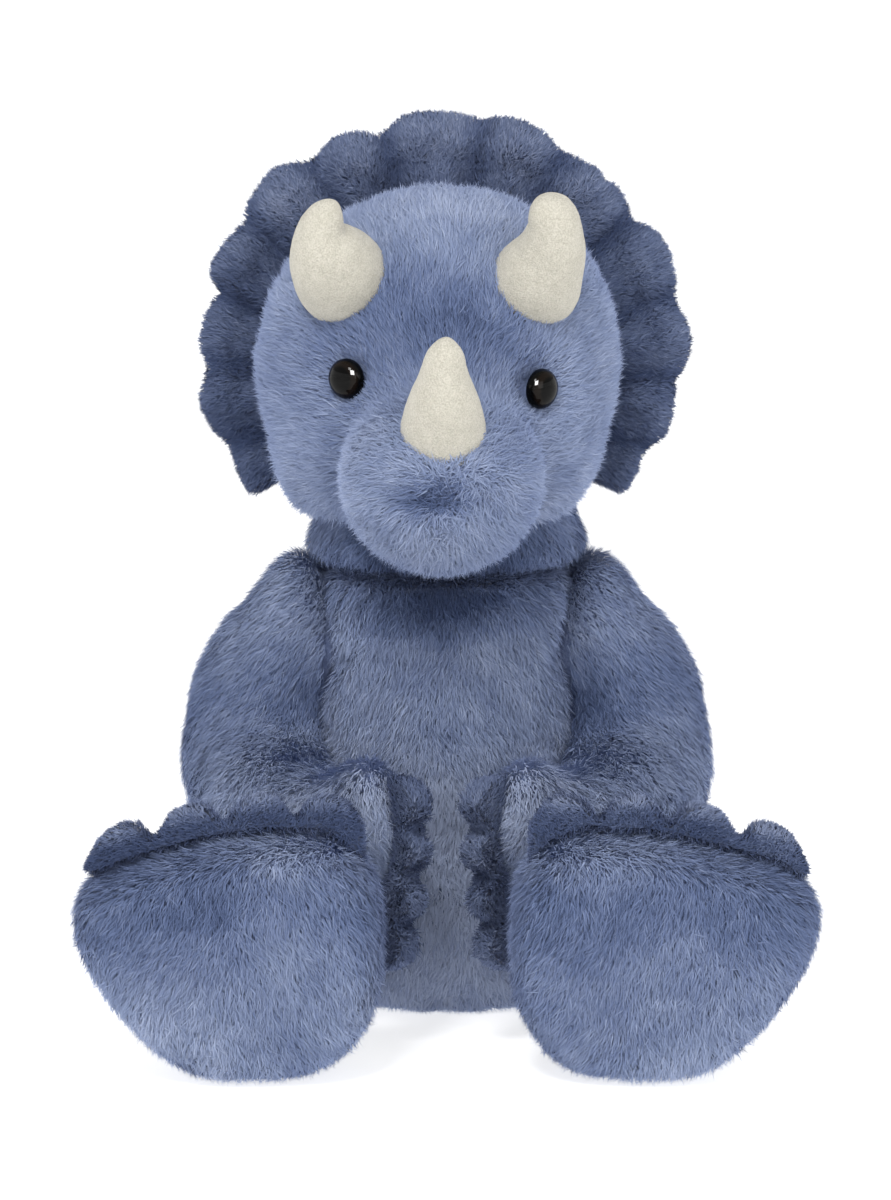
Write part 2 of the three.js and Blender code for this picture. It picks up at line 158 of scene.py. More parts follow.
undercoat = cloth_material("blue_undercoat", srgb(92, 106, 142), srgb(110, 124, 160), 900, 0.6)
dark_undercoat = cloth_material("dark_undercoat", srgb(58, 69, 97), srgb(76, 88, 117), 900, 0.6)
suede = cloth_material(
    "cream_suede", srgb(170, 166, 153), srgb(197, 193, 181), 1900, 0.8, 0.95, 0.15, 0.2
)
fill_cloth = cloth_material("fibre_fill", srgb(226, 224, 218), srgb(246, 244, 240), 700, 0.8)
bag_cloth = cloth_material("pellet_bag_cloth", srgb(186, 180, 164), srgb(208, 202, 188), 1200, 0.6)
white_plastic = cloth_material(
    "white_moulding", srgb(226, 226, 222), srgb(236, 236, 232), 300, 0.05, 0.45, 0.0
)

# The shades of a pile give both its random tone and the painted light and shade that each piece's tint
# adds.
blue_shades = strand_shades(
    "blue_pile",
    [
        (56, 68, 98), (74, 87, 119), (92, 106, 140), (104, 118, 152),
        (117, 130, 162), (129, 142, 172), (142, 154, 183), (158, 169, 195),
    ],
)
DEEP = 2  # shades of the blue pile kept for its darkest places: the painted shadow under the chin and the painted shade on the brow and in the mouth
dark_shades = strand_shades(
    "dark_pile",
    [(60, 71, 100), (72, 83, 112), (85, 96, 125), (99, 110, 138), (118, 128, 154)],
)


# ---- Noise on arrays of points ----


def scramble(cells, seed):
    """A repeatable value from 0 to 1 for each whole-number cell."""
    n = cells.astype(np.int64)
    h = (n[..., 0] * 73856093) ^ (n[..., 1] * 19349663) ^ (n[..., 2] * 83492791) ^ (seed * 2654435761)
    h = (h ^ (h >> 13)) & 0xFFFFFFFF
    h = (h * 1274126177) & 0xFFFFFFFF
    h = (h ^ (h >> 16)) & 0xFFFFFFFF
    h = (h * 2246822519) & 0xFFFFFFFF
    return ((h ^ (h >> 15)) & 0xFFFFFF) / 0xFFFFFF


def noise(points, size, seed):
    """Smooth noise from -1 to 1, with features about `size` millimetres across."""
    q = points / size
    base = np.floor(q)
    f = q - base
    f = f * f * (3 - 2 * f)
    total = np.zeros(len(points))
    for dx in (0, 1):
        for dy in (0, 1):
            for dz in (0, 1):
                weight = np.abs(1 - dx - f[:, 0]) * np.abs(1 - dy - f[:, 1]) * np.abs(1 - dz - f[:, 2])
                total += weight * scramble(base + (dx, dy, dz), seed)
    return total * 2 - 1


def noise_vector(points, size, seed):
    return np.stack([noise(points, size, seed + i) for i in range(3)], axis=1)


def unit(v):
    return v / np.maximum(np.linalg.norm(v, axis=-1, keepdims=True), 1e-9)


def dot(a, b):
    return np.einsum("ij,ij->i", a, b)[:, None]


def bell(distance, width):
    return np.exp(-((distance / width) ** 2))


# ---- Meshes ----


def new_object(name, mesh, body, *nodes, mats=(), slot=None):
    obj = bpy.data.objects.new(name, mesh)
    bpy.context.scene.collection.objects.link(obj)
    for mat in mats:
        mesh.materials.append(mat)
    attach(obj, body)
    if nodes:
        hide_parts(*nodes)
    return obj


def mesh_from(name, points, faces):
    """A mesh from points in millimetres and faces of one size."""
    mesh = bpy.data.meshes.new(name)
    faces = np.asarray(faces, np.int32)
    count, size = faces.shape
    mesh.vertices.add(len(points))
    mesh.vertices.foreach_set("co", (np.asarray(points) * MM).astype(np.float32).ravel())
    mesh.loops.add(count * size)
    mesh.loops.foreach_set("vertex_index", faces.ravel())
    mesh.polygons.add(count)
    mesh.polygons.foreach_set("loop_start", np.arange(0, count * size, size, dtype=np.int32))
    mesh.polygons.foreach_set("use_smooth", np.full(count, True))
    mesh.update()
    mesh.validate()
    return mesh


def points_of(mesh):
    flat = np.zeros(len(mesh.vertices) * 3, np.float32)
    mesh.vertices.foreach_get("co", flat)
    return flat.reshape(-1, 3).astype(float) / MM


def normals_of(mesh):
    flat = np.zeros(len(mesh.vertices) * 3, np.float32)
    mesh.vertices.foreach_get("normal", flat)
    return flat.reshape(-1, 3).astype(float)


def set_points(mesh, points):
    mesh.vertices.foreach_set("co", (points * MM).astype(np.float32).ravel())
    mesh.update()


def baked(obj):
    """A new mesh with the object's modifiers applied. The object is removed."""
    graph = bpy.context.evaluated_depsgraph_get()
    mesh = bpy.data.meshes.new_from_object(obj.evaluated_get(graph))
    bpy.data.objects.remove(obj)
    return mesh


def fused(nodes, voxel, passes):
    """One smooth closed skin round the named CAD nodes."""
    points, faces, start = [], [], 0
    for node in nodes:
        mesh = frame["nodes"][node].data
        mesh.calc_loop_triangles()
        tris = np.zeros(len(mesh.loop_triangles) * 3, np.int32)
        mesh.loop_triangles.foreach_get("vertices", tris)
        points.append(points_of(mesh))
        faces.append(tris.reshape(-1, 3) + start)
        start += len(mesh.vertices)
    mesh = mesh_from("fusing", np.concatenate(points), np.concatenate(faces))
    obj = bpy.data.objects.new("fusing", mesh)
    bpy.context.scene.collection.objects.link(obj)
    remesh = obj.modifiers.new("voxels", "REMESH")
    remesh.mode = "VOXEL"
    remesh.voxel_size = voxel * MM
    smooth = obj.modifiers.new("smooth", "SMOOTH")
    smooth.factor = 0.5
    smooth.iterations = passes
    return baked(obj)


def refined(mesh, levels):
    obj = bpy.data.objects.new("refining", mesh)
    bpy.context.scene.collection.objects.link(obj)
    rounder = obj.modifiers.new("subdivision", "SUBSURF")
    rounder.levels = rounder.render_levels = levels
    return baked(obj)


def sculpt(mesh, moves):
    """Moves the points of a skin: moves(points, normals) gives how far each goes, in millimetres."""
    points = points_of(mesh)
    set_points(mesh, points + moves(points, normals_of(mesh)))


def inflated(mesh, held, slack, cap):
    """The mesh once its filling has blown it up, by cloth simulation. held(points) is 1 where a seam
    holds the cloth still, slack is how much larger the cloth is cut than the shape it covers, and no
    point moves further than the cap, in millimetres."""
    before = points_of(mesh)
    obj = bpy.data.objects.new("inflating", mesh)
    scene = bpy.context.scene
    scene.collection.objects.link(obj)
    pins = obj.vertex_groups.new(name="held")
    level = np.round(held(before) * 4).astype(int)
    for value in range(1, 5):
        pins.add([int(i) for i in np.nonzero(level == value)[0]], value / 4, "REPLACE")
    cloth = obj.modifiers.new("cloth", "CLOTH")
    cloth.settings.quality = 5
    cloth.settings.mass = 0.1
    cloth.settings.tension_stiffness = cloth.settings.compression_stiffness = 5
    cloth.settings.shear_stiffness = 2
    cloth.settings.bending_stiffness = 0.1
    cloth.settings.shrink_min = -slack
    cloth.settings.use_pressure = True
    cloth.settings.uniform_pressure_force = 6
    cloth.settings.effector_weights.gravity = 0
    cloth.settings.vertex_group_mass = "held"
    cloth.point_cache.frame_start = 1
    cloth.point_cache.frame_end = CLOTH_FRAMES
    for frame_number in range(1, CLOTH_FRAMES + 1):
        scene.frame_set(frame_number)
    mesh = baked(obj)
    scene.frame_set(1)
    move = points_of(mesh) - before
    far = np.maximum(np.linalg.norm(move, axis=1, keepdims=True), 1e-6)
    set_points(mesh, before + move * np.minimum(1, cap / far))
    return mesh


# ---- Pile ----

PIECE_LIMIT = 98000  # strands in one piece


def pick_spots(mesh, density, rng):
    """Even random spots on a mesh: their places and the surface's directions there."""
    mesh.calc_loop_triangles()
    tris = np.zeros(len(mesh.loop_triangles) * 3, np.int32)
    mesh.loop_triangles.foreach_get("vertices", tris)
    tris = tris.reshape(-1, 3)
    points, normals = points_of(mesh), normals_of(mesh)
    a, b, c = (points[tris[:, i]] for i in range(3))
    area = np.linalg.norm(np.cross(b - a, c - a), axis=1) / 2
    edges = np.cumsum(area)
    total = int(edges[-1] * density)
    which = np.searchsorted(edges, (np.arange(total) + rng.random(total)) / total * edges[-1])
    which = np.minimum(which, len(tris) - 1)
    u, v = rng.random(total), rng.random(total)
    over = u + v > 1
    u[over], v[over] = 1 - u[over], 1 - v[over]
    w = np.stack([1 - u - v, u, v], axis=1)[:, :, None]
    place = (points[tris[which]] * w).sum(1)
    facing = unit((normals[tris[which]] * w).sum(1))
    return place, facing


def nearest_lock(places, size, seed):
    """The middle of the lock of pile that each spot belongs to, and a repeatable value for each lock."""
    base = np.floor(places / size)
    best = np.full(len(places), 1e9)
    middle_of = np.zeros_like(places)
    value = np.zeros(len(places))
    for dx in (-1, 0, 1):
        for dy in (-1, 0, 1):
            for dz in (-1, 0, 1):
                cell = base + (dx, dy, dz)
                centre = cell + np.stack([scramble(cell, seed + i) for i in range(3)], axis=1)
                centre *= size
                gap = ((centre - places) ** 2).sum(1)
                closer = gap < best
                best[closer] = gap[closer]
                middle_of[closer] = centre[closer]
                value[closer] = scramble(cell[closer], seed + 7)
    return middle_of, value


def even(places):
    return np.zeros(len(places))


def pile(name, mesh, body, flow, keep, shades, slot, seed, tint, density, length, width, lean, lock):
    """Covers a skin with strands that lie along flow(places). keep(places) is each one's share of the
    full length, and strands under a twentieth of it are left out. tint(places) makes some places
    lighter or darker. Each strand is a bent kite of two faces."""
    rng = np.random.default_rng(seed)
    at, out = pick_spots(mesh, density * (1), rng)
    share = keep(at)
    used = share > 0.05
    at, out, share = at[used], out[used], share[used]
    count = len(at)
    along = flow(at) + STRAY_WIDE * noise_vector(at, 15, seed)
    along = along + STRAY_NEAR * noise_vector(at, 5, seed + 3)
    along = unit(along + STRAY_ALONE * rng.normal(size=(count, 3)))
    along = unit(along - out * dot(along, out))
    centre, tone = nearest_lock(at, lock, seed + 20)
    pull = centre - at
    pull -= out * dot(pull, out)
    reach = (length * share * rng.uniform(0.7, 1.12, count) * (0.88 + 0.24 * tone))[:, None]
    lift = rng.uniform(0.7, 1.0, count)[:, None]
    bend = unit(out * lift + along * 0.6 * lean + 0.14 * rng.normal(size=(count, 3)))
    droop = unit(out * 0.4 * lift + along * lean + 0.2 * rng.normal(size=(count, 3)))
    knee = at + bend * reach * 0.5 + pull * GATHER
    tip = knee + droop * reach * 0.6 + pull * GATHER
    spin = rng.uniform(-0.6, 0.6, count)[:, None]
    across = unit(np.cross(along, out))
    across = unit(across * np.cos(spin) + out * np.sin(spin))
    half = across * (width * rng.uniform(0.7, 1.25, count))[:, None] / 2
    corners = np.stack([at - out * 0.8, knee - half, knee + half, tip], axis=1)
    corners[..., 2] = np.maximum(corners[..., 2], 0.3)
    face_out = unit(np.cross(corners[:, 2] - corners[:, 1], corners[:, 3] - corners[:, 1]))
    turned = dot(face_out, out)[:, 0] < 0
    corners[turned] = corners[turned][:, [0, 2, 1, 3]]
    face_out[turned] *= -1
    shine = unit(out + 0.3 * face_out + 0.12 * rng.normal(size=(count, 3)))
    patch = 0.6 * noise(at, 24, seed + 40) + 0.4 * noise(at, 7, seed + 41)
    patch = patch + 0.4 * (tone - 0.5) + 0.3 * rng.normal(size=count) + tint(at)
    deep = DEEP if shades is blue_shades else 0
    level = np.floor((patch + 1.5) / 3 * (len(shades) - deep)) + deep
    shade = np.clip(level, 0, len(shades) - 1).astype(np.int32)
    parts = max(1, math.ceil(count / PIECE_LIMIT))
    for part in range(parts):
        pick = slice(part * count // parts, (part + 1) * count // parts)
        some = corners[pick]
        first = np.arange(len(some))[:, None] * 4
        faces = np.concatenate([first + (0, 2, 1), first + (1, 2, 3)], axis=1).reshape(-1, 3)
        tuft = mesh_from(f"{name}_{part + 1}", some.reshape(-1, 3), faces)
        tuft.polygons.foreach_set("material_index", np.repeat(shade[pick], 2))
        tuft.normals_split_custom_set_from_vertices(np.repeat(shine[pick], 4, axis=0))
        new_object(tuft.name, tuft, body, mats=shades, slot=slot)


def everywhere(places):
    return np.ones(len(places))


# ---- Skins of the blue fur pieces ----


def no_seams(points):
    return np.zeros(len(points))


def skin(name, nodes, body, moves, held=no_seams, voxel=4.0, passes=12, inset=PILE - 2.5):
    """The backing cloth of a stuffed fur piece, under its pile. The smoothing takes off 1 to 2 mm and
    the simulation puts the puff back on, so the inset is less than the pile."""
    mesh = fused(nodes, voxel, passes)
    sculpt(mesh, lambda points, normals: -(inset + PUFF) * normals)
    mesh = inflated(mesh, held, CLOTH_SLACK, PUFF + 1)
    sculpt(mesh, moves)
    mesh = refined(mesh, 1)
    return new_object(name, mesh, body, nodes[0], mats=[undercoat], slot="blue_fur")


def blue_pile(name, skin_object, body, flow, keep, seed, tint=even):
    pile(
        name, skin_object.data, body, flow, keep, blue_shades, "blue_fur", seed, tint, **BLUE_PILE
    )


def outside_balls(places, balls):
    """0 inside the round seats, rising to 1 just outside them."""
    share = np.ones(len(places))
    for centre, radius in balls:
        gap = np.linalg.norm(places - centre, axis=1) - radius
        share = np.minimum(share, np.clip(gap / 3 + 0.5, 0, 1))
    return share


def away_from(places, centre):
    return unit(places - centre)


def settle(z, sink):
    """How far a height moves when the weight of the toy presses its underside down on the floor."""
    lower = z - sink * np.clip((16 - z) / 12, 0, 1)
    return np.maximum(lower, FLOOR_GAP) - z


def torso():
    def held(points):
        return np.clip((points[:, 2] - NECK_SEAM_Z + 10) / 6, 0, 1) + (points[:, 2] < 8)

    def moves(points, normals):
        """A seam down the lower belly, fuller flanks, and an underside settled on the floor."""
        x, y, z = points.T
        seam = 1.2 * bell(x, 2.2) * (y < 0) * np.clip((70 - z) / 30, 0, 1)
        flank = np.clip((np.abs(normals[:, 0]) - 0.6) / 0.2, 0, 1) * np.clip((z - 55) / 10, 0, 1)
        return normals * (3.2 * flank - seam)[:, None] + Z * settle(z, 3.5)[:, None]

    nodes = ["body_skin", "body_stuffing", "seat_pellet_bag"]
    obj = skin("body_cloth", nodes, "torso", moves, held)
    seats = [(p, SHOULDER_SEAT) for p in SHOULDERS] + [(p, HIP_SEAT) for p in HIPS]
    seats.append((TAIL_ROOT, TAIL_SEAT))

    def flow(places):
        side = np.clip(places[:, :1] / 40, -1, 1)
        return -Z + 0.3 * side * X - 0.15 * Y

    def keep(places):
        under = np.clip((places[:, 2] - 0.5) / 3, 0.3, 1)
        return outside_balls(places, seats) * under * (places[:, 2] < NECK_SEAM_Z - 3)

    # Painted light and shade on the torso's pile: the belly is painted lighter where it lies in shade
    # between the paws, and a painted shadow falls under the chin. The pile is also a little lighter just
    # above the floor.
    def tint(places):
        x, z = places[:, 0], places[:, 2]
        belly = bell(z - 52, 38)
        chin_shadow = np.clip((z - 123) / 16, 0, 1) * bell(x, 32) * (places[:, 1] < 0)
        return 1.3 * belly + 0.3 * bell(z - 10, 12) - 2.9 * chin_shadow + 0.3

    blue_pile("body_pile", obj, "torso", flow, keep, 11, tint)
    return obj


def neck():
    def moves(points, normals):
        """The bottom of the neck spreads over the shoulders."""
        spread = 5.0 * np.clip((NECK_SEAM_Z + 16 - points[:, 2]) / 10, 0, 1)
        spread = spread * np.clip(np.abs(normals[:, 0]) / 0.5, 0, 1)
        return unit(normals * (1, 1, 0)) * spread[:, None]

    obj = skin("neck_cloth", ["neck_skin", "neck_stuffing"], "neck", moves)

    def keep(places):
        low = places[:, 2] < HEAD_PIVOT[2] + 22
        nape = 0.4 * (places[:, 1] > 0) * (places[:, 2] < HEAD_PIVOT[2] + 40)
        return np.maximum(low, nape)

    def flow(places):
        return -Z + 0.4 * away_from(places * (1, 1, 0), (0, HEAD_PIVOT[1], 0))

    # A painted shadow under the chin, down the front of the neck.
    def tint(places):
        return -2.4 * bell(places[:, 0], 31) * (places[:, 1] < 0) - 0.1

    blue_pile("neck_pile", obj, "neck", flow, keep, 12, tint)
    return obj


def eye_seat(side):
    """The middle of an eye's dome and the way it looks, from the CAD dome and its washer."""
    name = "right" if side > 0 else "left"
    dome = middle(f"eye_{name}")
    washer = middle(f"eye_{name}_washer")
    out = unit(dome - washer)
    return washer + out * EYE_DEPTH, out


EYES = [eye_seat(-1), eye_seat(1)]


def head():
    mouth = np.array([-3.5, MUZZLE_TIP[1], 177.3])

    def held(points):
        return (np.linalg.norm(points - HEAD_PIVOT, axis=1) < 47) * 1.0

    def moves(points, normals):
        """A dimple for the mouth and one under each eye, and the jowls, the crown and the sides of the
        head and of the muzzle drawn in."""
        x, y, z = points.T
        curve = z - mouth[2] + 2.0 * np.cos((x - mouth[0]) / 9)
        dent = 3.4 * bell(curve, 3) * bell(x - mouth[0], 10) * np.clip((-72 - y) / 10, 0, 1)
        for centre, _ in EYES:
            dent = dent + 2.4 * bell(np.linalg.norm(points - centre, axis=1), 9)
        jowl = 4.0 * np.clip((np.abs(x) - 34) / 14, 0, 1) * bell(z - 166, 16)
        jowl = jowl * np.clip((y + 60) / 15, 0, 1) * np.where(x > 0, 0.9, 0.15)
        bridge = 4.5 * bell(np.abs(x) - 35, 9) * bell(z - 193, 17) * np.clip((-28 - y) / 14, 0, 1)
        crown = 2.2 * np.clip((z - 246) / 16, 0, 1)
        side = 1.6 + 1.6 * np.clip((x - 40) / 14, 0, 1)
        side = side + 1.4 * np.clip((-x - 40) / 14, 0, 1) * (z < 222)
        inwards = -np.sign(x) * jowl - side
        return -normals * dent[:, None] + np.stack([inwards, -bridge, -crown + 0.5 * jowl], axis=1)

    obj = skin("head_cloth", ["head_skin", "head_stuffing"], "head", moves, held, 3.6, 30, PILE - 3.3)

    def keep(places):
        share = np.ones(len(places))
        for (centre, _), shift in zip(EYES, (0.3, -2.2)):
            gap = np.linalg.norm(places - centre - shift * X, axis=1)
            share = np.minimum(share, np.where(gap < 5.4, 0, np.clip((gap - 4.0) / 8, 0.3, 1)))
        inside = np.linalg.norm(places - HEAD_PIVOT, axis=1) - 46
        return share * np.clip(inside / 3 + 0.4, 0, 1)

    def flow(places):
        away = away_from(places, MUZZLE_TIP + (0, 14, 2))
        for centre, _ in EYES:
            near = bell(np.linalg.norm(places - centre, axis=1), 14)[:, None]
            away = away + 1.2 * near * away_from(places, centre)
        return away

    # Painted light and shade on the head's pile: the crown and the right cheek are painted lighter where
    # light falls on them, a painted shade lies on the brow and on the bridge above the nose horn, and a
    # painted shadow lies in the mouth's dimple. The muzzle is a little lighter.
    def tint(places):
        x, z = places[:, 0], places[:, 2]
        brow = bell(x, 27) * bell(z - 226, 15)
        crown = np.clip((z - 246) / 14, 0, 1)
        bridge = bell(x, 30) * bell(z - 196, 10) * (places[:, 1] < -50)
        mouth_shade = bell(np.linalg.norm((places - mouth) * (0.85, 0.6, 2.0), axis=1), 8.5)
        lit_cheek = np.clip((x - 22) / 20, 0, 1) * np.clip((215 - z) / 15, 0, 1)
        muzzle = bell(z - 182, 18) * (places[:, 1] < -62)
        lighter = 0.6 * crown + 0.35 * lit_cheek + 0.3 * muzzle + 0.2
        return lighter - 1.6 * brow - 0.25 * bridge - 2.6 * mouth_shade

    blue_pile("head_pile", obj, "head", flow, keep, 13, tint)
    return obj


def arm(side):
    name = "right" if side > 0 else "left"
    body = f"arm_{name}"
    shoulder = SHOULDERS[side > 0]
    elbow = shoulder + (side * 12, -10, -38)
    paw = middle(f"{body}_claws")

    def hidden(places):
        """The flat round end of the arm, inside the shoulder."""
        from_axis = np.linalg.norm((places - shoulder) * (0, 1, 1), axis=1)
        return (np.abs(places[:, 0]) < 41.5) & (from_axis < 56)

    def held(points):
        return hidden(points) * 1.0

    def moves(points, normals):
        """The side against the torso filled out to meet it, the yoke sloped off the shoulder, the mitt
        raised and the outer side rounded."""
        x, y, z = points[:, 0] * side, points[:, 1], points[:, 2]
        facing_torso = np.clip((-side * normals[:, 0] - 0.6) / 0.2, 0, 1) * (y > -40)
        slope = 8.0 * bell(x - 50, 9) - 3.8 * bell(x - 67.5, 7.5)
        yoke = slope * bell(y - 2, 24) * np.clip((z - 118) / 14, 0, 1)
        mitt = 6.0 * bell(x - 17, 14)
        mitt = mitt * np.clip((-66 - y) / 14, 0, 1) * np.clip((z - 62) / 16, 0, 1)
        outer = 1.8 * bell(z - 80, 20) + 3.5 * bell(z - 62, 10) + 2.5 * bell(z - 110, 11)
        rounder = outer * np.clip(side * normals[:, 0], 0, 1) * (y > -50)
        return normals * (3.2 * facing_torso + rounder)[:, None] + Z * (yoke + mitt)[:, None]

    obj = skin(f"{body}_cloth", [f"{body}_skin", f"{body}_stuffing"], body, moves, held)

    def flow(places):
        from_neck = away_from(places, (0, shoulder[1], NECK_SEAM_Z + 6))
        upper = unit(elbow - shoulder) + 0.8 * from_neck
        lower = unit(paw - elbow) * (1, 0.1, 1)
        share = np.clip((shoulder[2] - 26 - places[:, 2]) / 22, 0, 1)[:, None]
        return upper * (1 - share) + lower * share - 0.25 * Z

    def keep(places):
        return np.where(hidden(places), 0.0, 1.0)

    # The top of the mitt is painted lighter, a painted light falling on it from above. The pile high on
    # the upper arm is darker.
    def tint(places):
        upper = bell(places[:, 2] - 103, 18) * np.clip((places[:, 1] + 40) / 20, 0, 1)
        mitt = np.clip((-62 - places[:, 1]) / 12, 0, 1) * np.clip((places[:, 2] - 60) / 15, 0, 1)
        return 0.25 - 1.25 * upper + 0.5 * mitt

    blue_pile(f"{body}_pile", obj, body, flow, keep, 14 + side, tint)
    return obj


def leg(side):
    name = "right" if side > 0 else "left"
    body = f"leg_{name}"
    hip = HIPS[side > 0]
    foot_x = side * 70

    def held(points):
        return (np.linalg.norm(points - hip, axis=1) < 20) * 1.0

    def moves(points, normals):
        """The foot widened on its inner side, the round hole at the hip drawn in over the filling, and
        an underside settled on the floor."""
        x, y, z = points[:, 0] * side, points[:, 1], points[:, 2]
        inner = 3.7 * np.clip((50 - x) / 22, 0, 1) * np.clip((-100 - y) / 8, 0, 1)
        from_axis = np.linalg.norm((points - hip) * (0, 1, 1), axis=1)
        opening = 8.0 * bell(from_axis, 10) * (x < 36) * (y > -70)
        return Z * settle(z, 1.5)[:, None] - 1.3 * normals - side * X * (inner + opening)[:, None]

    obj = skin(f"{body}_cloth", [f"{body}_skin", f"{body}_stuffing"], body, moves, held)

    def flow(places):
        outwards = np.clip((places[:, :1] - foot_x) / 45, -1, 1)
        shin = -0.75 * Y - Z + 0.55 * outwards * X
        over_edge = places[:, 2:] - 67 + 12 * np.clip((np.abs(places[:, :1]) - 62) / 50, 0, 1)
        turn = math.pi * np.clip(over_edge / 14, 0, 1)
        sole = (places - (foot_x, -129, 0)) * (0.45, 0.6, 0) / 25
        sole = sole - Z * np.cos(turn) + side * X * np.sin(turn)
        share = np.clip((-98 - places[:, 1:2]) / 12, 0, 1)
        return shin * (1 - share) + sole * share

    def keep(places):
        under = np.clip((places[:, 2] - 1.5) / 4, 0.3, 1)
        in_socket = np.where(places[:, 0] * side > 36, 0.5, 0.25)
        return np.maximum(outside_balls(places, [(hip, 21.0)]), in_socket) * under

    # The top rim of the foot is painted lighter, a painted light along its edge. The pile is also lighter
    # near the floor and darker round the top of the sole.
    def tint(places):
        z = places[:, 2]
        lit_rim = np.clip((z - 68) / 6, 0, 1)
        return np.clip((30 - z) / 60, -0.5, 0.3) - 0.45 * bell(z - 58, 13) + 0.6 * lit_rim

    blue_pile(f"{body}_pile", obj, body, flow, keep, 24 + side, tint)
    return obj


def tail():
    def held(points):
        return (np.linalg.norm(points - TAIL_ROOT, axis=1) < 17) * 1.0

    def moves(points, normals):
        return Z * settle(points[:, 2], 0)[:, None]

    obj = skin("tail_cloth", ["tail_skin", "tail_stuffing"], "tail", moves, held)

    def flow(places):
        return Y - 0.3 * Z + 0 * places

    def keep(places):
        return outside_balls(places, [(TAIL_ROOT, 14.0)]) * np.clip((places[:, 2] - 1) / 3, 0.3, 1)

    blue_pile("tail_pile", obj, "tail", flow, keep, 31)
    return obj


# ---- Dark plush pieces ----


# The rim of the frill, from its left tip over the top to the right one: the angle in degrees and the
# reach in millimetres at each lobe and at each crease between two lobes, in turn.
FRILL_RIM = [
    (209, 74), (194, 75), (183, 81), (174, 79.5), (164, 83), (157, 81), (149, 87.5), (139, 87), (129, 92),
    (121, 88), (112, 90.5), (104, 87), (91, 92), (82, 90.5), (73, 93), (64, 89), (53, 90.5), (43, 86),
    (33, 89), (22, 84.5), (14, 85), (3, 81), (-4, 79.5), (-16, 74.5), (-30, 72),
]


def frill():
    """A padded fan with a puffed lobe between each pair of creases."""
    columns, rings, root = 6, 16, 42.0
    turns, reaches, puffs = [], [], []
    for k in range(len(FRILL_RIM) - 1):
        (a, ra), (b, rb) = FRILL_RIM[k : k + 2]
        for j in range(columns):
            s = j / columns
            rise = math.sin(s * math.pi / 2) if k % 2 else math.cos(s * math.pi / 2)
            crease, lobe = (ra, rb) if k % 2 else (rb, ra)
            turns.append(math.radians(a + (b - a) * s))
            reaches.append(crease + (lobe - crease) * rise**0.8)
            puffs.append(rise)
    turns.append(math.radians(FRILL_RIM[-1][0]))
    reaches.append(FRILL_RIM[-1][1])
    puffs.append(1.0)
    turn, reach, puff = np.array(turns), np.array(reaches), np.array(puffs)
    lobe_number = np.arange(len(turn)) / (2 * columns)
    rows, creased = [], []
    for face in (-1, 1):
        for k in range(rings + 1):
            t = k / rings if face < 0 else 1 - k / rings
            radius = root + (reach - 1.5 - root) * t
            close = math.sqrt(max(0.03, 1 - max(0.0, (t - 0.78) / 0.22) ** 2))
            pucker = 1.1 * np.sin(lobe_number * 2 * math.pi * 2.3) * (1 - t) ** 0.5
            deep = 2.3 + 0.9 * np.sin(np.round(lobe_number) * 2.1)
            swell = 2.4 * deep * (puff**0.7 - 0.45) * min(1, 2.5 * t) * (1 - 0.45 * t)
            thick = (3.4 + swell + pucker) * close
            sway = 2.6 * t * t * np.sin(lobe_number * math.pi + 0.6)
            sway = sway + 1.4 * t * np.sin(lobe_number * 2.3)
            x = radius * np.cos(turn) - 2
            y = FRILL_CENTRE[1] + face * np.maximum(thick, 1.2 * close) + sway - 3.5 * t * t
            rows.append(np.stack([x, y, FRILL_CENTRE[2] + radius * np.sin(turn)], axis=1))
            creased.append(np.maximum((puff < 0.2) * (t > 0.15), t < 0.1) * 1.0)
    grid, creased = np.array(rows), np.concatenate(creased)
    count, width = grid.shape[:2]
    index = np.arange(count * width).reshape(count, width)
    a, b = index, np.roll(index, -1, axis=0)
    quads = np.stack([a[:, :-1], a[:, 1:], b[:, 1:], b[:, :-1]], axis=-1).reshape(-1, 4)
    ends = []
    for column, step in ((0, 1), (width - 1, -1)):
        for k in range(rings):
            near, far = index[k, column], index[k + 1, column]
            ends.append([near, far, index[count - 2 - k, column], index[count - 1 - k, column]][::step])
    mesh = mesh_from("frill_cloth", grid.reshape(-1, 3), np.concatenate([quads, np.array(ends)]))
    mesh = inflated(mesh, lambda points: creased, CLOTH_SLACK, 2.5)
    mesh = refined(mesh, 2)
    sculpt(mesh, lambda p, n: n * (0.7 * noise(p, 11, 61) + 0.35 * noise(p, 5, 62))[:, None])
    obj = new_object(
        "frill_cloth", mesh, "head", "frill_front", "frill_padding", "frill_back",
        mats=[dark_undercoat], slot="dark_plush",
    )

    def flow(places):
        return away_from(places, FRILL_CENTRE) * (1, 0, 1) - 0.2 * Z

    def keep(places):
        return (np.linalg.norm((places - FRILL_CENTRE) * (1, 0, 1), axis=1) > 47) * 1.0

    creases = np.array([angle for angle, _ in FRILL_RIM[1::2]])

    # Painted light and shade on the frill's pile: lighter towards the top and at the rims of the lobes,
    # where light falls, and a painted shade along each crease.
    def tint(places):
        away = places - FRILL_CENTRE
        angle = (np.degrees(np.arctan2(away[:, 2], away[:, 0])) + 90) % 360 - 90
        crease_shade = bell(np.abs(angle[:, None] - creases).min(axis=1), 3.2)
        lit_rim = np.clip((np.hypot(away[:, 0], away[:, 2]) - 60) / 25, 0, 1)
        return 0.3 * np.clip(away[:, 2] / 75 - 0.3, -0.5, 0.8) + 0.3 * lit_rim - 1.2 * crease_shade - 0.12

    dark_pile("frill_pile", obj, "head", flow, keep, 41, tint)
    return obj


def dark_pile(name, skin_object, body, flow, keep, seed, tint, **changes):
    pile(
        name, skin_object.data, body, flow, keep, dark_shades, "dark_plush", seed, tint,
        **{**DARK_PILE, **changes},
    )


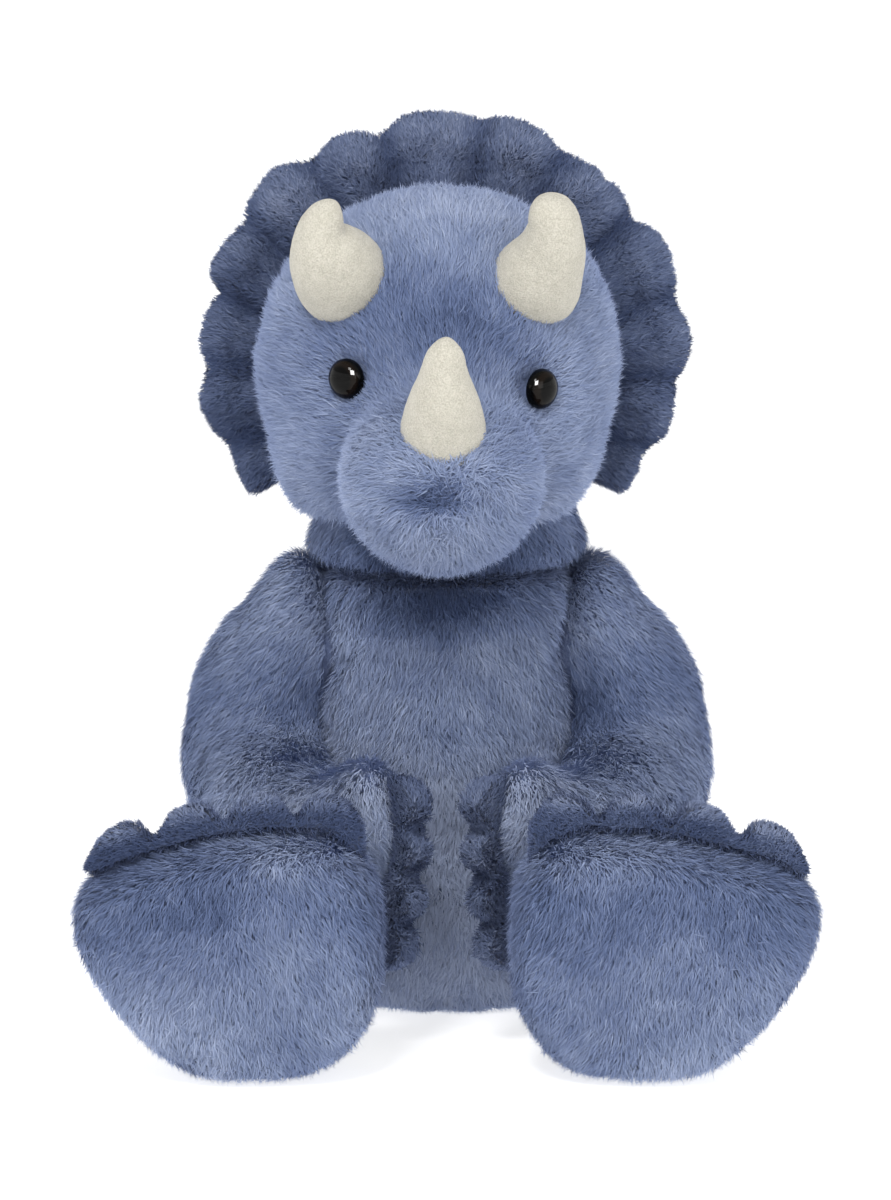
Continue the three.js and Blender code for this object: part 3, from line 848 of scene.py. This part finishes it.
def strip(node, body, seed):
    """A scalloped strip of short dark plush. The claws follow the round end of the paw."""
    mesh = fused([node], 1.1, 3)
    toes = node.endswith("toes")

    base = middle(node)
    low, high = corner(node, 0), corner(node, 1)

    def moves(points, normals):
        if toes:
            return -1.1 * normals
        below = high[2] - points[:, 2]
        tuck = 6.0 * (below / (high[2] - low[2])) ** 2
        return -1.1 * normals - 0.14 * Z * below[:, None] + np.sign(base[0]) * X * tuck[:, None]

    sculpt(mesh, moves)
    name = node.replace("leg_", "").replace("arm_", "")
    obj = new_object(f"{name}_cloth", mesh, body, node, mats=[dark_undercoat], slot="dark_plush")

    def flow(places):
        return away_from(places, base) * 0.5 + 0.2 * Z

    def tint(places):
        """Lighter along the free edge, the top of the toes and the front of the claws: partly the frosted
        tips of the pile, partly a painted sheen where the tips are seen edge-on.
        """
        if not toes:
            rise = (high[1] - places[:, 1]) / (high[1] - low[1])
            return 2.2 * np.clip(rise - 0.66, -0.45, 0.5)
        outwards = np.abs(places[:, 0]) / max(abs(low[0]), abs(high[0]))
        top = high[2] - 12 * np.clip((outwards - 0.44) / 0.52, 0, 1) ** 2
        return 0.45 * np.clip(places[:, 2] - top + 4, -2.2, 3)

    dark_pile(f"{name}_pile", obj, body, flow, everywhere, seed, tint, length=STRIP_LENGTH)
    return obj


# ---- Horns and eyes ----


def swept(stations):
    """A smooth round tube through stations of (x, y, z, radius) that closes in a blunt tip."""
    sides, rows, close_from = 72, 64, 0.86
    stations = np.array(stations, float)
    t_in = np.linspace(0, 1, len(stations))
    t = np.linspace(0, 1, rows)
    t = 1 - (1 - t) ** 1.6
    smooth = np.stack([catmull(t_in, stations[:, i], t) for i in range(4)], axis=1)
    centre, radius = smooth[:, :3], smooth[:, 3]
    radius = radius * np.sqrt(np.clip(1 - np.clip((t - close_from) / (1 - close_from), 0, 1) ** 2, 0, 1))
    tangent = unit(np.gradient(centre, axis=0))
    wide = unit(X - tangent * (tangent @ X)[:, None])
    deep = np.cross(wide, tangent)
    angle = np.linspace(0, 2 * math.pi, sides, endpoint=False)
    ring = wide[:, None] * np.cos(angle)[None, :, None] + deep[:, None] * np.sin(angle)[None, :, None]
    points = centre[:, None] + ring * radius[:, None, None]
    index = np.arange(rows * sides).reshape(rows, sides)
    a, b = index[:-1], index[1:]
    quads = np.stack([a, b, np.roll(b, -1, 1), np.roll(a, -1, 1)], axis=-1).reshape(-1, 4)
    return points.reshape(-1, 3), quads


def catmull(known, values, at):
    """A smooth curve through evenly spaced values."""
    n = len(known) - 1
    padded = np.concatenate([[2 * values[0] - values[1]], values, [2 * values[-1] - values[-2]]])
    s = np.clip(at * n, 0, n - 1e-9)
    i = np.floor(s).astype(int)
    f = s - i
    p0, p1, p2, p3 = padded[i], padded[i + 1], padded[i + 2], padded[i + 3]
    bend = (2 * p0 - 5 * p1 + 4 * p2 - p3) * f**2
    twist = (3 * p1 - p0 - 3 * p2 + p3) * f**3
    return 0.5 * (2 * p1 + (p2 - p0) * f + bend + twist)


def horn(name, node, filling, stations):
    points, quads = swept(stations)
    mesh = mesh_from(name, points, quads)
    sculpt(mesh, lambda p, n: n * (0.3 * noise(p, 9, 71) + 0.1 * noise(p, 1.6, 72))[:, None])
    return new_object(name, mesh, "head", node, filling, mats=[suede], slot="cream_suede")


def horns():
    made = [
        horn(
            "nose_horn", "nose_horn_cover", "nose_horn_stuffing",
            [
                (-1, -68, 184, 12.5), (-1, -79, 196, 14), (-1, -89, 207, 11.8), (-0.7, -97, 218, 7.8),
                (0, -102, 229.5, 4.4),
            ],
        )
    ]
    paths = {
        "left": [
            (-31, -28, 239, 15), (-35, -40, 246, 15.8), (-39, -49, 253.5, 13), (-40.6, -54, 261.5, 8.2),
            (-36.6, -57, 271, 4.2),
        ],
        "right": [
            (27, -28, 237.5, 14.8), (29.5, -40, 244, 15.2), (34, -49, 254, 11.6), (34.6, -55, 263.5, 8.8),
            (30.5, -58, 272.5, 6),
        ],
    }
    for side, stations in paths.items():
        name = f"brow_horn_{side}"
        made.append(horn(name, f"{name}_cover", f"{name}_stuffing", stations))
    return made


def eye_material():
    """A glossy black dome whose iris is a little lighter than its pupil."""
    mat = principled("glossy_eye", srgb(10, 8, 8), 0.04, Specular_IOR_Level=0.12)
    tree = mat.node_tree
    shader = tree.nodes["Principled BSDF"]
    where = tree.nodes.new("ShaderNodeAttribute")
    where.attribute_name = "reach"
    ramp = tree.nodes.new("ShaderNodeValToRGB")
    stops = [(0.0, (1, 1, 1)), (0.6, (1, 1, 1)), (0.72, (6, 4, 3)), (0.86, (5, 3, 2)), (0.94, (1, 1, 1))]
    ramp.color_ramp.elements[0].color = srgb(*stops[0][1])
    ramp.color_ramp.elements[1].position = stops[-1][0]
    ramp.color_ramp.elements[1].color = srgb(*stops[-1][1])
    for position, colour in stops[1:-1]:
        ramp.color_ramp.elements.new(position).color = srgb(*colour)
    tree.links.new(where.outputs["Fac"], ramp.inputs["Fac"])
    tree.links.new(ramp.outputs["Color"], shader.inputs["Base Color"])
    return mat


def eyes():
    glossy = eye_material()
    made = []
    for name, (centre, seat_out), turned in zip(("left", "right"), EYES, (0.0, 0.34)):
        rings, sides, radius, height = 18, 48, 6.7, 4.8
        out = unit(seat_out + turned * X)
        wide = unit(np.cross(Z, out))
        tall = np.cross(out, wide)
        points, reach = [centre + out * height], [0.0]
        for k in range(1, rings + 1):
            slope = k / rings * math.pi * 0.56
            for j in range(sides):
                turn = 2 * math.pi * j / sides
                flat = wide * math.cos(turn) + tall * math.sin(turn)
                points.append(centre + flat * radius * math.sin(slope) + out * height * math.cos(slope))
                reach.append(math.sin(min(slope, math.pi / 2)))
        points.append(centre - out * 2)
        reach.append(1.0)
        tris = [(0, 1 + j, 1 + (j + 1) % sides) for j in range(sides)]
        for k in range(rings - 1):
            for j in range(sides):
                a, b = 1 + k * sides + j, 1 + k * sides + (j + 1) % sides
                tris += [(a, a + sides, b), (b, a + sides, b + sides)]
        last = len(points) - 1
        tris += [(last - sides + j, last, last - sides + (j + 1) % sides) for j in range(sides)]
        mesh = mesh_from(f"eye_dome_{name}", np.array(points), np.array(tris))
        values = mesh.attributes.new("reach", "FLOAT", "POINT")
        values.data.foreach_set("value", np.array(reach, np.float32))
        made.append(
            new_object(mesh.name, mesh, "head", f"eye_{name}", mats=[glossy], slot="black_plastic")
        )
    return made


# ---- Camera, floor and light ----


def camera():
    """The viewing angle: a long lens a little above the middle of the toy."""
    distance, rise, aim = 1400.0, math.radians(7.0), np.array([0.0, 0.0, 150.0])
    data = bpy.data.cameras.new("camera")
    data.lens = 123.2
    data.sensor_width = 36
    data.shift_x = -0.001
    data.shift_y = -0.042
    data.clip_end = 20
    obj = bpy.data.objects.new("camera", data)
    obj.location = (aim + distance * np.array([0, -math.cos(rise), math.sin(rise)])) * MM
    obj.rotation_euler = (math.pi / 2 - rise, 0, 0)
    bpy.context.scene.collection.objects.link(obj)
    bpy.context.scene.camera = obj


def lamp(name, place, target, size, power, only=()):
    """A square soft lamp. One with a list of objects lights nothing else."""
    data = bpy.data.lights.new(name, "AREA")
    data.size = size
    data.energy = power
    obj = bpy.data.objects.new(name, data)
    obj.location = place
    aim = Vector(target) - Vector(place)
    obj.rotation_euler = aim.to_track_quat("-Z", "Y").to_euler()
    bpy.context.scene.collection.objects.link(obj)
    if only:
        lit = bpy.data.collections.new(f"{name}_receivers")
        for receiver in only:
            lit.objects.link(receiver)
        obj.light_linking.receiver_collection = lit


def studio():
    """A white floor, a low round wall far from the toy that rises from it in a curve, and soft lamps in
    front of the toy."""
    floor, wall, wall_top, sides = 5.0, 6.0, 2.2, 48
    points = [(-wall, -wall, 0), (wall, -wall, 0), (wall, wall, 0), (-wall, wall, 0)]
    quads = [(0, 1, 2, 3)]
    curve = [(floor + math.sin(a), 1 - math.cos(a)) for a in np.linspace(0, math.pi / 2, 14)]
    for k, (radius, z) in enumerate(curve + [(wall, wall_top)]):
        for j in range(sides):
            turn = 2 * math.pi * j / sides
            points.append((radius * math.cos(turn), radius * math.sin(turn), z))
            if k:
                a, b = 4 + (k - 1) * sides + j, 4 + (k - 1) * sides + (j + 1) % sides
                quads.append((a, a + sides, b + sides, b))
    sweep = mesh_from("sweep", np.array(points) / MM, quads)
    obj = bpy.data.objects.new("sweep", sweep)
    glow = principled("sweep_white", (0.7, 0.7, 0.7, 1), 0.9, Emission_Strength=0.72)
    glow.node_tree.nodes["Principled BSDF"].inputs["Emission Color"].default_value = (1, 1, 1, 1)
    sweep.materials.append(glow)
    bpy.context.scene.collection.objects.link(obj)
    world = bpy.data.worlds.new("world")
    bpy.context.scene.world = world
    world.use_nodes = True
    back = world.node_tree.nodes["Background"]
    back.inputs["Color"].default_value = (1, 1, 1, 1)
    back.inputs["Strength"].default_value = 0.59
    lamp("key", (-0.3, -1.1, 1.45), (0, -0.05, 0.15), 0.4, 15)
    lamp("fill", (0.9, -1.5, 0.7), (0, -0.05, 0.15), 1.0, 6.2)
    bpy.context.scene.view_settings.view_transform = "Standard"


def inner_pieces():
    """The filling, the pellet bag and the washers stay as CAD nodes inside the skins."""
    for name, obj in frame["nodes"].items():
        if obj.hide_render:
            continue
        mat = fill_cloth
        if name.endswith("washer"):
            mat = white_plastic
        elif name == "seat_pellet_bag":
            mat = bag_cloth
        obj.data.materials.clear()
        obj.data.materials.append(mat)


camera()
studio()
for piece in [torso(), neck(), head(), tail(), arm(-1), arm(1), leg(-1), leg(1), frill()]:
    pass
for node, body, seed in [
    ("arm_left_claws", "arm_left", 51), ("arm_right_claws", "arm_right", 52),
    ("leg_left_toes", "leg_left", 53), ("leg_right_toes", "leg_right", 54),
]:
    strip(node, body, seed)
for piece in horns():
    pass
lamp("catch_light", (0.05, -1.3, 0.95), (0, -0.05, 0.2), 0.6, 130, eyes())
inner_pieces()

bpy.context.view_layer.update()
